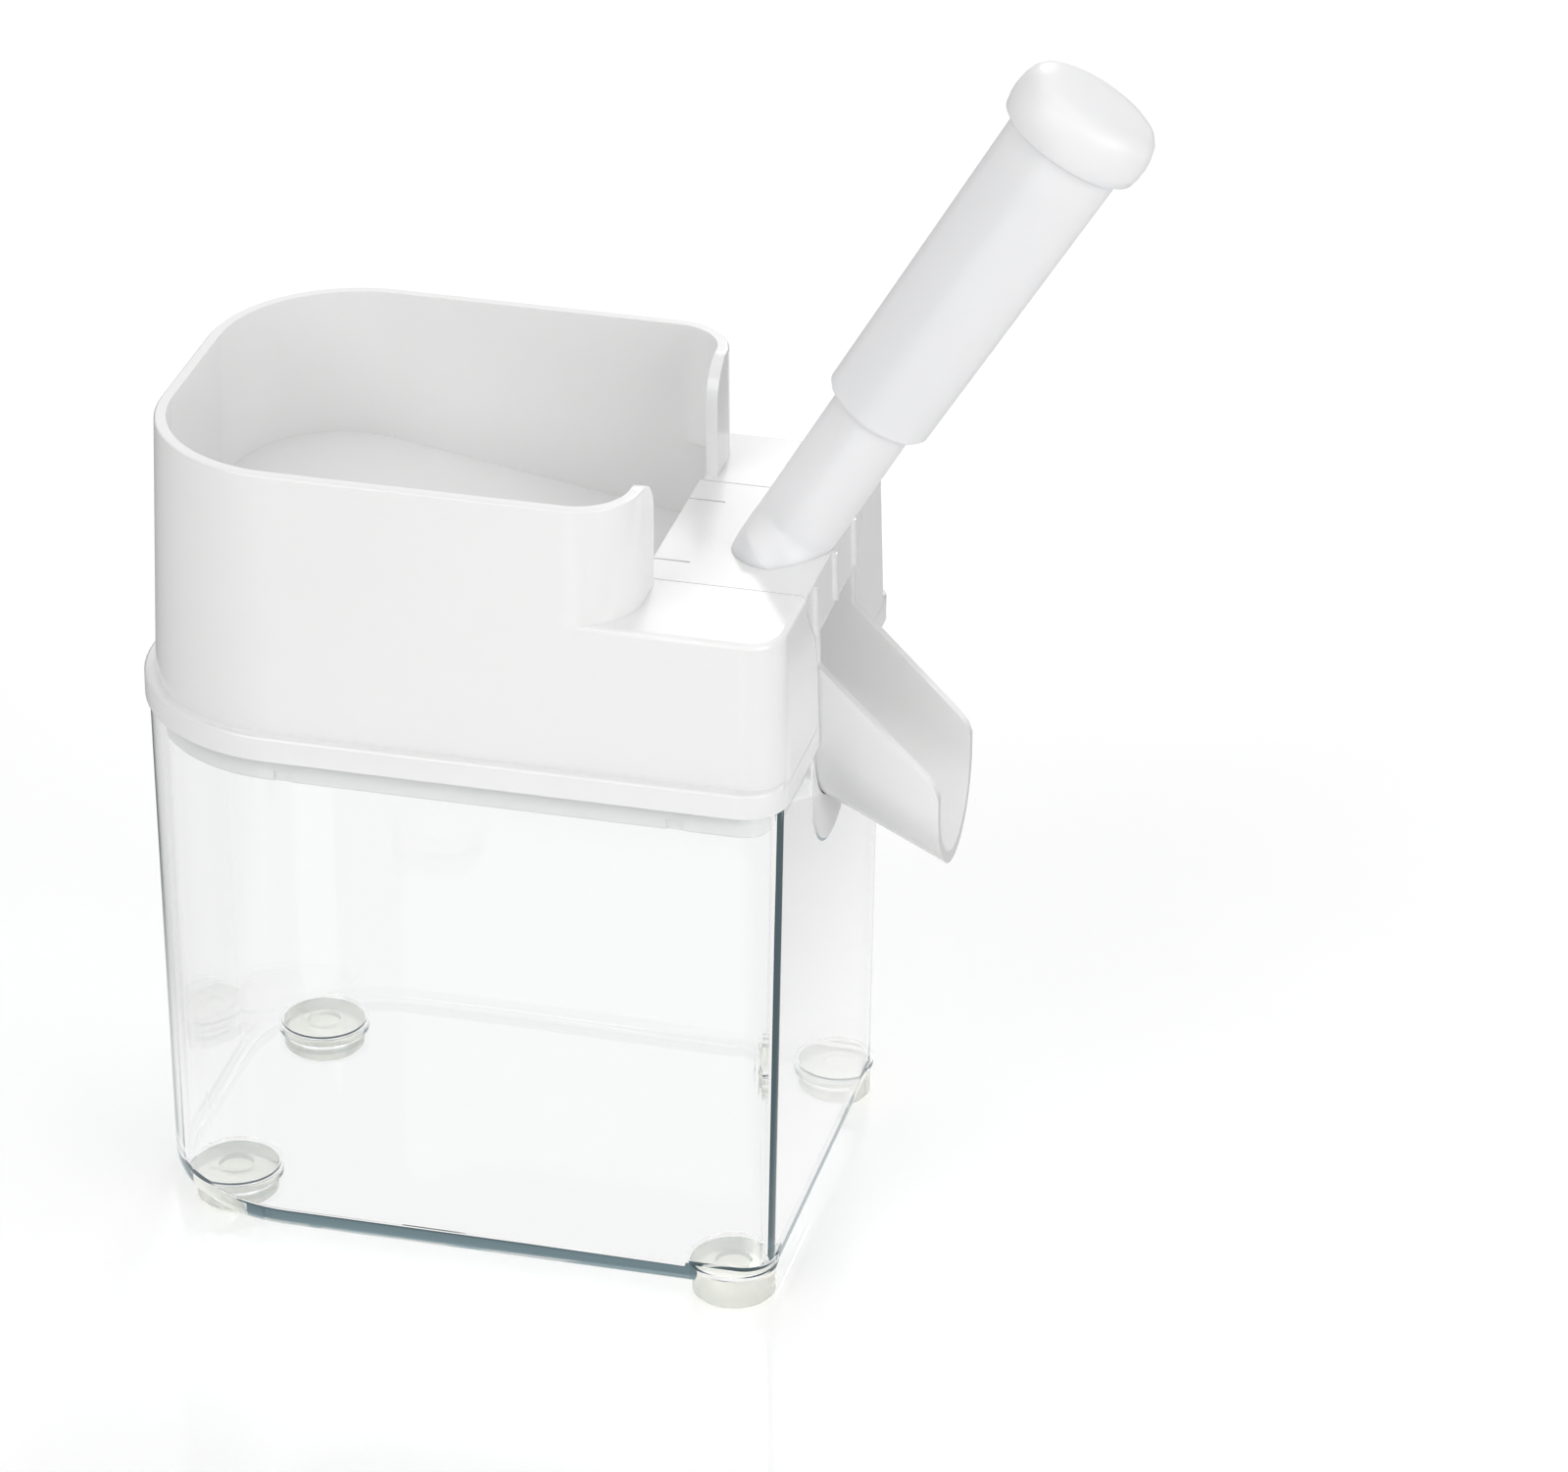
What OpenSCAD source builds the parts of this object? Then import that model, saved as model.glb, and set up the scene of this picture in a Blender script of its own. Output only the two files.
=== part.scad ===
// Free-standing cherry pitter: a clear pit container, a hopper housing that lifts off it,
// a removable pitting head with an open chute, and a sprung plunger on an inclined neck.
// Millimetres. X runs from the hopper to the chute, Y to the back, Z up. The origin is on the
// resting plane, midway between the two long sides and the two ends of the housing flange.

/* [Footprint] */
// Length of the housing flange
body_l = 140; // [132:1:160]
// Width of the housing flange
body_w = 100; // [94:1:112]
// Corner radius at the hopper end
corner_left = 35; // [28:1:38]
// Corner radius at the chute end
corner_right = 9; // [7:1:11]

/* [Container] */
// Height of the container from its underside to its rim
tub_h = 110.2; // [95:1:130]
// Container wall
tub_wall = 2.4; // [2:0.1:2.8]
// Container floor
tub_floor = 2.6; // [2:0.1:3.2]
// How far the container stands inside the flange edge at its rim
tub_inset = 0.9; // [0.6:0.1:1.2]
// Draft of the container walls, millimetres per millimetre
tub_draft = 0.015; // [0.01:0.001:0.02]
// Radius of the notch under the chute
notch_r = 17; // [16.5:0.1:17.6]
// Depth of the notch below the container rim
notch_depth = 27.7; // [25:0.5:30]

/* [Feet] */
// Foot radius
foot_r = 8.6; // [7.5:0.1:9]
// How far the feet stand out below the container
foot_show = 3.5; // [2.5:0.1:4.5]
// Depth of the pocket that holds a foot
pocket_depth = 3.7; // [3:0.1:4.5]
// Distance of the feet at the chute end from the end and from the side of the flange
foot_edge = 10; // [9.5:0.1:12]
// Distance of the feet at the hopper end along the corner diagonal from the corner's centre
foot_diagonal = 22; // [19:0.1:23]

/* [Housing] */
// Gap between the container rim and the flange that rests on it
seam_gap = 0.3; // [0.2:0.05:0.5]
// Height of the flange band
flange_h = 5.3; // [4:0.1:7]
// Step from the flange band in to the housing wall
flange_step = 2.2; // [1.6:0.1:2.4]
// Height of the deck above the underside of the flange
deck_h = 36.7; // [35:0.1:40]
// Height of the hopper rim above the underside of the flange
rim_h = 61; // [55:1:75]
// Housing wall
shell_wall = 2.4; // [2:0.1:2.8]
// Draft of the housing walls, millimetres per millimetre
shell_draft = 0.029; // [0.02:0.001:0.035]
// Distance of the outside of the hopper's inner end wall from the body centre
hopper_end = 38.4; // [36:0.1:40]
// Corner radius of the hopper beside the deck
hopper_corner = 13; // [11:0.5:14]
// Half width of the gap in the hopper's inner end wall
gate_half = 25; // [24:0.5:27]
// Slope of the hopper floor along the body, degrees
floor_slope = 9.3; // [7:0.1:11]
// Slope of the floor wings towards the channel, degrees
wing_slope = 9; // [6:0.5:11]
// Half width of the floor channel
channel_half = 16; // [15.9:0.1:16.5]

/* [Pitting head] */
// Half width of the deck insert
insert_half = 22.7; // [21.5:0.1:23.5]
// Play around the insert in the housing
insert_play = 0.3; // [0.25:0.05:0.4]
// Height of the lintel over the chute opening, above the underside of the flange
lintel_h = 24.4; // [22:0.1:25]
// Outside half width of the chute
chute_half = 15.5; // [15:0.1:15.6]
// Chute wall
chute_wall = 2.2; // [1.8:0.1:2.4]
// How far the chute mouth stands out past the flange end
chute_reach = 24.4; // [18:0.2:30]
// Lowest point of the chute mouth, above the resting plane
mouth_low = 84; // [80:0.5:88]
// Depth of the chute mouth
mouth_depth = 22.5; // [20:0.5:26]
// Slope of the chute floor, degrees
chute_slope = 26.7; // [25:0.1:28]
// Height of the chute's side walls where they leave the housing, above the underside of the flange
chute_shoulder = 18; // [16:0.2:20]

/* [Plunger] */
// Lean of the plunger away from the vertical, degrees
tilt = 30.8; // [29:0.1:32]
// Distance of the plunger axis from the flange end, measured at the deck
axis_back = 11.1; // [10.5:0.1:12]
// Stroke of the plunger
stroke = 30; // [24:0.5:30]
// Half width of the neck along the body
neck_a = 8.6; // [8.2:0.1:9]
// Half depth of the neck across the body
neck_b = 8.2; // [7.8:0.1:8.3]
// Half depth of the neck's spread foot on the deck
neck_foot_b = 13.5; // [13.2:0.1:14]
// Height of the neck's spread foot along the axis
neck_foot_h = 6.2; // [6:0.1:6.2]
// Length of the neck above the deck, along the axis
neck_l = 68; // [60:0.5:68]
// Play between the neck and the grip
grip_play = 0.4; // [0.3:0.05:0.5]
// Height of the grip's lower end above the deck, along the axis
grip_low = 36.3; // [35.8:0.1:38]
// Solid end of the grip between the room for the neck and the palm cap
grip_web = 8.3; // [8:0.1:12]
// Half width of the grip along the body
grip_a = 11.3; // [11:0.1:12]
// Half depth of the grip across the body
grip_b = 9.7; // [9.5:0.1:10.2]
// How much wider the grip is at its upper end, on the chute side
grip_flare = 1.6; // [0:0.1:2.4]
// Half length of the palm cap
cap_a = 15; // [14.2:0.1:16]
// Half width of the palm cap
cap_b = 12; // [11.4:0.1:13]
// Height of the palm cap
cap_h = 12.6; // [11:0.1:15]
// Radius of the plunger rod
rod_r = 2.5; // [2.2:0.05:2.8]
// Radial play of the rod in its guide bush
rod_play = 0.05; // [0.02:0.01:0.09]
// Radius of the pitting crown
crown_r = 3.6; // [3.4:0.05:3.8]
// Distance of the crown's lower end below the deck at rest, along the axis
crown_low = 15.5; // [15:0.1:16]

/* [Cherry seat] */
// Distance of the seat plate's upper face below the deck, along the axis
seat_drop = 39; // [38.6:0.1:39.4]
// Inside radius of the cherry cup at its mouth
cup_r = 11.6; // [11:0.1:12]
// Radius of the pit hole in the cup
pit_hole_r = 5.5; // [5:0.1:6]
// Radius of the hole in the gasket
gasket_hole_r = 3.7; // [3.65:0.05:4.2]

/* [Return spring] */
// Wire diameter of the return spring
wire_d = 1.1; // [0.9:0.1:1.3]
// Outside radius of the return spring
spring_r = 5.2; // [4.9:0.1:5.3]
// Number of turns
spring_turns = 15; // [11:1:18]

/* [Hidden] */

$fn = 64;
cut = 1;                      // how far a cutting shape runs past what it cuts
weld = 0.4;                   // how far two parts of one moulding run into each other
left_steps = 20;              // facets round a corner at the hopper end
right_steps = 10;             // facets round a corner at the chute end

white = [0.93, 0.93, 0.92];
satin = [0.95, 0.94, 0.92];
clear = [0.75, 0.85, 0.86, 0.35];
silicone = [0.86, 0.87, 0.82, 0.8];
steel = [0.72, 0.73, 0.75];

half_l = body_l / 2;
half_w = body_w / 2;
rim_z = foot_show + tub_h;                     // rim of the container
base_z = rim_z + seam_gap;                     // underside of the flange
deck_z = base_z + deck_h;
top_z = base_z + rim_h;                        // rim of the hopper
draft_angle = atan(shell_draft);
tub_x = half_l - tub_inset;                    // outside of the container's end wall at its rim

// ---- outlines -------------------------------------------------------------------------------

function arc(cx, cy, r, from, steps) =
    [for (i = [0 : steps]) [cx + r * cos(from + 90 * i / steps), cy + r * sin(from + 90 * i / steps)]];

// Rounded plan outline with large corners at x0 and small ones at x1, counter-clockwise.
function plan(x0, x1, half, r0, r1) = concat(
    arc(x0 + r0, -half + r0, r0, 180, left_steps),
    arc(x1 - r1, -half + r1, r1, 270, right_steps),
    arc(x1 - r1, half - r1, r1, 0, right_steps),
    arc(x0 + r0, half - r0, r0, 90, left_steps));

function at_height(outline, z) = [for (p = outline) [p[0], p[1], z]];

// Solid through a stack of sections that have the same number of points.
module loft(sections) {
    n = len(sections[0]);
    m = len(sections);
    side = [for (j = [0 : m - 2]) for (i = [0 : n - 1])
        let (a = j * n + i, b = j * n + (i + 1) % n, c = a + n, d = b + n)
        each [[a, c, d], [a, d, b]]];
    polyhedron(
        points = [for (s = sections) each s],
        faces = concat([[for (i = [0 : n - 1]) i]],
            [[for (i = [n - 1 : -1 : 0]) (m - 1) * n + i]], side),
        convexity = 6);
}

// Section of the container at height z, taken in by extra on every side.
function tub_ring(z, extra = 0) =
    let (k = tub_inset + tub_draft * (rim_z - z) + extra)
    at_height(plan(-half_l + k, half_l - k, half_w - k, corner_left - k, max(corner_right - k, 1)), z);

// Section of the whole housing wall at height z, taken in by extra on every side.
function shell_ring(z, extra = 0) =
    let (end = shell_draft * (z - base_z) + extra, k = flange_step + end)
    at_height(plan(-half_l + k, half_l - end, half_w - k, corner_left - k, max(corner_right - end, 1)), z);

// Section of the housing wall at the chute end only, from x0 on, taken in by extra.
function deck_ring(x0, z, extra = 0) =
    let (end = shell_draft * (z - base_z) + extra, k = flange_step + end, r = max(corner_right - end, 1),
        x = half_l - end - r, y = half_w - k - r)
    at_height(concat([[x0, -y - r]], arc(x, -y, r, 270, right_steps), arc(x, y, r, 0, right_steps),
        [[x0, y + r]]), z);

// Section of the hopper at height z, taken in by extra on every side.
function hopper_ring(z, extra = 0) =
    let (k = flange_step + shell_draft * (z - base_z) + extra)
    at_height(plan(-half_l + k, hopper_end - extra, half_w - k, corner_left - k, hopper_corner - extra), z);

// Section of the flange band, taken in by extra on every side.
function flange_ring(z, extra = 0) =
    at_height(plan(-half_l + extra, half_l - extra, half_w - extra, corner_left - extra,
        max(corner_right - extra, 1)), z);

// ---- frames ---------------------------------------------------------------------------------

axis_x = half_l - axis_back;                   // plunger axis where it meets the deck

// Children stand on the plunger axis, t above the deck along it, with X down the slope.
module on_axis(t = 0) {
    translate([axis_x, 0, deck_z]) rotate([0, tilt, 0]) translate([0, 0, t]) children();
}

// Children are drawn in the XZ plane and extruded across the body, from y0 to y1.
module across(y0, y1) {
    translate([0, y1, 0]) rotate([90, 0, 0]) linear_extrude(y1 - y0) children();
}

// Children are drawn in the YZ plane and extruded along the body, from x0 to x1.
module along(x0, x1) {
    translate([x0, 0, 0]) rotate([90, 0, 90]) linear_extrude(x1 - x0) children();
}

// Mirror copy to the other side of the body.
module both_sides() {
    children();
    mirror([0, 1, 0]) children();
}

// ---- container and feet ---------------------------------------------------------------------

foot_play = 0.15;
pocket_r = foot_r + foot_play;
boss_wall = 1;
boss_r = pocket_r + boss_wall;
boss_lip = 0.45;                               // reach of the pocket's roof past the pocket
boss_top = foot_show + pocket_depth + boss_wall + 0.1;
foot_h = foot_show + pocket_depth - 0.1;
foot_left = [-half_l + corner_left - foot_diagonal * sqrt(0.5),
    half_w - corner_left + foot_diagonal * sqrt(0.5)];
foot_right = [half_l - foot_edge - 1, half_w - foot_edge + 1.2];

// Notch under the chute, drawn in the YZ plane and grown by extra.
module notch_outline(extra = 0) {
    low = rim_z - notch_depth;
    lip = 4;
    r = notch_r + extra;
    centre = low + notch_r;
    translate([0, centre]) circle(r);
    translate([-r, centre]) square([2 * r, rim_z + deck_h - centre]);
    for (s = [-1, 1]) scale([s, 1])
        difference() {
            translate([r - 0.01, rim_z - lip]) square([lip, lip + cut]);
            translate([r + lip, rim_z - lip]) circle(lip);
        }
}

module notch_cut(extra = 0) {
    along(half_l - 12, half_l + cut) notch_outline(extra);
}

module container() {
    color(clear) union() {
        difference() {
            loft([tub_ring(foot_show, 2.2), tub_ring(foot_show + 0.7, 0.9), tub_ring(foot_show + 2.2, 0.2),
                tub_ring(foot_show + 4, 0), tub_ring(rim_z - 0.4, 0), tub_ring(rim_z, 0.4)]);
            loft([tub_ring(foot_show + tub_floor, tub_wall + 1.6),
                tub_ring(foot_show + tub_floor + 1.6, tub_wall),
                tub_ring(rim_z + cut, tub_wall)]);
            notch_cut();
            for (s = [-1, 1]) {
                translate([foot_left[0], s * foot_left[1], 0]) cylinder(r = boss_r, h = boss_top - boss_wall);
                translate([foot_right[0], s * foot_right[1], 0]) cylinder(r = boss_r, h = boss_top - boss_wall);
            }
        }
        for (s = [-1, 1]) {
            foot_boss([foot_left[0], s * foot_left[1]]);
            foot_boss([foot_right[0], s * foot_right[1]]);
        }
    }
}

// Round pocket in the container floor; its side wall stays inside the container's own outline.
module foot_boss(place) {
    translate([place[0], place[1], boss_top - boss_wall]) cylinder(r = pocket_r + boss_lip, h = boss_wall);
    intersection() {
        translate([place[0], place[1], foot_show]) difference() {
            cylinder(r = boss_r, h = boss_top - foot_show - boss_wall / 2);
            translate([0, 0, -cut]) cylinder(r = pocket_r, h = pocket_depth + cut + 0.1);
        }
        loft([tub_ring(foot_show, 2.2), tub_ring(foot_show + 0.7, 0.9), tub_ring(foot_show + 2.2, 0.2),
            tub_ring(boss_top, 0)]);
    }
}

// Soft foot with a chamfered tread and a moulding recess in its upper face.
module foot(place) {
    chamfer = 0.8;
    color(silicone) translate([place[0], place[1], 0]) rotate_extrude()
        polygon([[0, 0], [foot_r - chamfer, 0], [foot_r, chamfer], [foot_r, foot_h],
            [3.6, foot_h], [3.6, foot_h - 1.2], [0, foot_h - 1.2]]);
}

module foot_front_left() { foot([foot_left[0], -foot_left[1]]); }
module foot_front_right() { foot([foot_right[0], -foot_right[1]]); }
module foot_rear_left() { foot(foot_left); }
module foot_rear_right() { foot(foot_right); }

// ---- housing --------------------------------------------------------------------------------

seat_plate = 2.4;                              // thickness of the seat plate
seat_left = 20;                                // reach of the seat plate up the slope
seat_right = 15.4;                             // reach of the seat plate down the slope
// Point v across the axis and t along it, in the XZ plane.
function axis_point(v, t) =
    [axis_x + v * cos(tilt) + t * sin(tilt), deck_z - v * sin(tilt) + t * cos(tilt)];
seat_start = axis_point(-seat_left, -seat_drop);
function floor_z(x) = seat_start[1] + (seat_start[0] - x) * tan(floor_slope);
floor_t = 2.2;
strip_seat = deck_z - shell_wall - 0.1;        // top of the ledges that carry the deck insert
ledge_t = 1.6;

// Outline of the insert on the end wall, in the YZ plane, grown by extra.
module insert_end(extra = 0) {
    shoulder = base_z + chute_shoulder;
    h = insert_half + extra;
    c = chute_half + extra;
    polygon([[-h, deck_z + 2], [-h, deck_z - 3], [-h + 1.4, deck_z - 6.5], [-c - 2.2, deck_z - 11],
        [-c - 0.6, shoulder + 3], [-c, shoulder - 1], [-c, base_z - cut],
        [c, base_z - cut], [c, shoulder - 1], [c + 0.6, shoulder + 3], [c + 2.2, deck_z - 11],
        [h - 1.4, deck_z - 6.5], [h, deck_z - 3], [h, deck_z + 2]]);
}

// Gap in the hopper's inner end wall above the deck, flaring out to the rim.
module gate_outline() {
    flare = 8;
    square_top = top_z + cut;
    translate([-gate_half, deck_z]) square([2 * gate_half, square_top - deck_z]);
    for (s = [-1, 1]) scale([s, 1])
        difference() {
            translate([gate_half - 0.01, top_z - flare]) square([flare + 0.01, flare + cut]);
            translate([gate_half + flare, top_z - flare]) circle(flare);
        }
}

insert_left = hopper_end - shell_wall - 0.7;   // edge of the deck insert at the hopper

// Hopper floor: a sloping channel between two wings, then the inclined seat plate.
module floor_parts() {
    wing = half_w - channel_half;
    rise = wing * tan(wing_slope);
    // channel and wings up to the seat plate, then the wings alone
    translate([seat_start[0], 0, seat_start[1]]) rotate([0, floor_slope, 0]) {
        along(-half_l - seat_start[0], 0)
            polygon([[-channel_half - wing, rise], [-channel_half, 0], [channel_half, 0],
                [channel_half + wing, rise], [channel_half + wing, rise - floor_t],
                [channel_half, -floor_t], [-channel_half, -floor_t],
                [-channel_half - wing, rise - floor_t]]);
        both_sides() along(-weld, (hopper_end - shell_wall / 2 - seat_start[0]) / cos(floor_slope))
            polygon([[channel_half, 0], [channel_half, -floor_t], [channel_half + wing, rise - floor_t],
                [channel_half + wing, rise]]);
    }
    // walls beside the seat plate
    both_sides() across(channel_half, channel_half + floor_t)
        polygon([[seat_start[0] - 2, floor_z(seat_start[0] - 2) - 0.5], [hopper_end, floor_z(hopper_end)],
            [hopper_end, strip_seat], [hopper_end - shell_wall, strip_seat],
            [hopper_end - shell_wall, floor_z(hopper_end - shell_wall) + 1]]);
    both_sides() across(channel_half - 0.2, channel_half + floor_t)
        polygon([[seat_start[0] - 3, floor_z(seat_start[0] - 3) - 0.3],
            [hopper_end, floor_z(hopper_end) - 0.3],
            [hopper_end, axis_point(0, -seat_drop - seat_plate)[1]
                - (hopper_end - axis_point(0, -seat_drop - seat_plate)[0]) * tan(tilt)],
            [seat_start[0] - 3, seat_start[1] - seat_plate * 0.6]]);
    // inner end wall of the hopper below the deck
    both_sides() along(hopper_end - shell_wall, hopper_end)
        polygon([[channel_half, floor_z(hopper_end) - floor_t], [half_w, floor_z(hopper_end) - floor_t],
            [half_w, deck_z - shell_wall / 2], [insert_half + insert_play, deck_z - shell_wall / 2],
            [insert_half + insert_play, strip_seat], [channel_half, strip_seat]]);
    // ledges under the deck insert
    both_sides() along(hopper_end - shell_wall / 2, half_l - shell_wall - 2.2)
        polygon([[insert_half - 1.4, strip_seat - ledge_t], [insert_half + 2.6, strip_seat - ledge_t],
            [insert_half + 2.6, deck_z - shell_wall + 0.2], [insert_half + insert_play, deck_z - shell_wall + 0.2],
            [insert_half + insert_play, strip_seat], [insert_half - 1.4, strip_seat]]);
    // seat plate
    on_axis(-seat_drop - seat_plate) difference() {
        translate([-seat_left, -channel_half - 0.2, 0])
            cube([seat_left + seat_right, 2 * channel_half + 0.4, seat_plate]);
        translate([0, 0, -cut]) cylinder(r = cup_body_r + 0.15, h = seat_plate + 2 * cut);
    }
}

module housing() {
    deck_round = 1.4;
    color(white) {
        difference() {
            union() {
                loft([flange_ring(base_z), flange_ring(base_z + flange_h - 0.8),
                    flange_ring(base_z + flange_h, 0.8)]);
                loft([deck_ring(0, base_z + 2), deck_ring(0, deck_z - deck_round),
                    deck_ring(0, deck_z - deck_round * 0.3, deck_round * 0.3),
                    deck_ring(0, deck_z, deck_round)]);
                loft([hopper_ring(base_z + 2), hopper_ring(top_z - 0.5), hopper_ring(top_z, 0.5)]);
            }
            loft([hopper_ring(base_z - cut, shell_wall), hopper_ring(top_z + cut, shell_wall)]);
            loft([deck_ring(1, base_z - cut, shell_wall), deck_ring(1, deck_z - shell_wall, shell_wall)]);
            along(hopper_end - 2 * shell_wall, hopper_end + 2 * shell_wall) gate_outline();
            translate([insert_left - insert_play, -insert_half - insert_play, deck_z - 2 * shell_wall])
                cube([body_l, 2 * (insert_half + insert_play), 3 * shell_wall]);
            along(half_l - 9, half_l + cut) insert_end(insert_play);
        }
        intersection() {
            floor_parts();
            loft([shell_ring(base_z, shell_wall - weld), shell_ring(deck_z - shell_wall / 2, shell_wall - weld)]);
        }
    }
}

// Locating frame under the housing: it drops into the container rim and is clipped on from below.
frame_drop = 5.8;                              // reach below the flange
frame_play = 0.4;                              // play in the container rim
frame_wall = 1.9;
frame_top = 5;                                 // reach up into the housing
frame_clips = [-32.5, 48.3];                   // places of the clip windows along the body
notch_play = 0.6;                              // play of the apron in the notch
chute_seat = 0.3;                              // play of the chute in the apron's saddle

// Apron of the frame: it fills the container's notch under the chute, which lies in its saddle.
module notch_apron() {
    lap = 2.6;                                 // reach behind the container's wall, up to the ring
    low = base_z - frame_drop + 0.3;
    wall_x = tub_x - tub_wall;
    difference() {
        union() {
            along(wall_x, tub_x - 0.1) intersection() {
                notch_outline(-notch_play);
                translate([-half_w, 0]) square([body_w, rim_z]);
            }
            along(wall_x - lap, wall_x + 0.4) intersection() {
                notch_outline(-notch_play);
                translate([-half_w, low]) square([body_w, rim_z - 0.3 - low]);
            }
            along(wall_x - lap, wall_x - frame_play - 0.1)
                translate([-notch_r - 3, low]) square([2 * notch_r + 6, rim_z - 0.3 - low]);
        }
        chute_channel(chute_half + chute_seat);
    }
}

module inner_frame() {
    low_inset = tub_inset + tub_wall + frame_play + tub_draft * frame_drop;
    top_inset = flange_step + shell_wall + 0.15;
    color(white) {
        difference() {
            union() {
                loft([flange_ring(base_z - frame_drop, low_inset + 0.4),
                    flange_ring(base_z - frame_drop + 0.6, low_inset), flange_ring(base_z, low_inset)]);
                loft([flange_ring(base_z - 1, top_inset), flange_ring(base_z + frame_top, top_inset + 0.1)]);
            }
            loft([flange_ring(base_z - frame_drop - cut, top_inset + frame_wall),
                flange_ring(base_z + frame_top + cut, top_inset + frame_wall)]);
            along(half_l - 12, half_l + cut)
                translate([-notch_r - 1, base_z - 10]) square([2 * notch_r + 2, 30]);
            for (x = frame_clips) for (s = [-1, 1])
                translate([x - 1.8, s * (half_w - low_inset) - 0.7, base_z - frame_drop - cut])
                    cube([3.6, 1.4, cut + 2.4]);
        }
        notch_apron();
    }
}

// ---- cherry seat ----------------------------------------------------------------------------

cup_wall = 1.6;
cup_body_r = cup_r + cup_wall;
cup_flange_r = cup_body_r + 2.2;
cup_flange_h = 1.4;
cup_depth = 7.2;                               // from the cup's mouth down to its pit hole
cup_low = 1.5;                                 // thickness under the cup's floor
cup_top = seat_drop - cup_flange_h - 0.05;     // drop of the cup's mouth below the deck
cup_end = cup_top + cup_depth + cup_low;       // drop of the cup's lower end
gasket_t = 1.2;

module cherry_cup() {
    color(white) on_axis() rotate_extrude()
        polygon([[pit_hole_r, -cup_end], [cup_body_r, -cup_end], [cup_body_r, -cup_top - cup_flange_h],
            [cup_flange_r, -cup_top - cup_flange_h], [cup_flange_r, -cup_top - 0.4],
            [cup_flange_r - 0.8, -cup_top], [cup_r, -cup_top],
            [cup_r - 0.3, -cup_top - 2], [cup_r - 1.3, -cup_top - 4], [cup_r - 3.2, -cup_top - 6],
            [pit_hole_r, -cup_top - cup_depth]]);
}

// Soft washer whose hole has a slit cross, so that a pit passes and juice is held back.
module cup_gasket() {
    slits = 6;
    color(silicone) on_axis(-cup_end - gasket_t - 0.05) difference() {
        cylinder(r = cup_body_r - 0.2, h = gasket_t);
        translate([0, 0, -cut]) cylinder(r = gasket_hole_r, h = gasket_t + 2 * cut);
        for (i = [0 : slits - 1]) rotate([0, 0, 360 / slits * i])
            translate([0, -0.25, -cut]) cube([gasket_hole_r + 3, 0.5, gasket_t + 2 * cut]);
    }
}

// Snap ring that holds the gasket against the cup.
module gasket_ring() {
    r = cup_body_r + 0.1;
    t = gasket_t + 0.1;
    color(white) on_axis(-cup_end) rotate_extrude()
        polygon([[r, 2.4], [r + 1.4, 2.4], [r + 1.4, -t - 1.6], [cup_r - 2, -t - 1.6], [cup_r - 2, -t], [r, -t]]);
}

// ---- pitting head ---------------------------------------------------------------------------

// Channel of the chute, open upwards, along its own slope; grown by extra.
module chute_channel(r) {
    mouth_x = half_l + chute_reach;
    translate([mouth_x, 0, mouth_low]) rotate([0, chute_slope, 0])
        translate([0, 0, chute_half]) along(-half_l, chute_reach) {
            circle(r);
            translate([-r, 0]) square([2 * r, body_w]);
        }
}

chute_start = axis_point(seat_right, -seat_drop)[0] + 1.2;     // end of the chute floor beside the cup
stripper_drop = 14;                            // drop of the stripper plate's lower face
stripper_t = 2;
boss_drop = stripper_drop - stripper_t;

// Side view of the chute outside and of the cheeks inside, in the XZ plane.
module chute_side() {
    mouth_x = half_l + chute_reach;
    shoulder = base_z + chute_shoulder;
    mouth_top = mouth_low + mouth_depth;
    lip = 2.5;
    polygon([[half_l - 2, shoulder + 1.4], [half_l - 1, shoulder],
        [mouth_x - lip, mouth_top + lip * tan(45.4)], [mouth_x - lip * 0.3, mouth_top + lip * 0.1],
        [mouth_x, mouth_top - lip * 0.8],
        [mouth_x, mouth_low - 4], [half_l - 4, mouth_low - 4], [chute_start, mouth_low],
        [chute_start, base_z - 2], [half_l - 2, base_z - 2]]);
}

// Cheeks beside the cup and the chute's inlet, in the XZ plane.
module cheek_side() {
    low = axis_point(0, -cup_top + 1.2);
    left = insert_left + 0.5;
    right = half_l - shell_wall / 2;           // half way into the end wall, which leans in
    function under(x) = low[1] - (x - low[0]) * tan(tilt);
    polygon([[left, deck_z - shell_wall / 2],
        [right - shell_draft * deck_h, deck_z - shell_wall / 2], [right, base_z],
        [right, mouth_low], [chute_start, mouth_low], [chute_start, under(chute_start)],
        [left, under(left)]]);
}

// End wall of the insert, leaning in with the housing's draft.
module head_end() {
    intersection() {
        translate([half_l, 0, base_z]) rotate([0, -draft_angle, 0]) translate([-half_l, 0, -base_z])
            along(half_l - shell_wall, half_l) insert_end(-0.05);
        translate([0, -half_w, base_z]) cube([body_l, body_w, deck_h - 0.05]);
    }
}

// Block under the neck that carries the guide bush and the stripper plate.
module neck_block(half) {
    on_axis(-boss_drop) translate([-neck_a, -half, 0]) cube([2 * neck_a, 2 * half, boss_drop + 10]);
}

// Room inside the head: the chute's channel up to the lintel, and a plain space above it.
module head_room() {
    half = chute_half - chute_wall;
    lintel_z = base_z + lintel_h;
    difference() {
        union() {
            intersection() {
                chute_channel(half);
                translate([0, -half_w, 0]) cube([2 * body_l, body_w, lintel_z]);
            }
            translate([0, -half + 0.05, lintel_z - cut])
                cube([half_l - shell_wall - 1.2, 2 * half - 0.1, deck_z - shell_wall - lintel_z + cut]);
        }
        neck_block(half + cut);
    }
}

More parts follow.
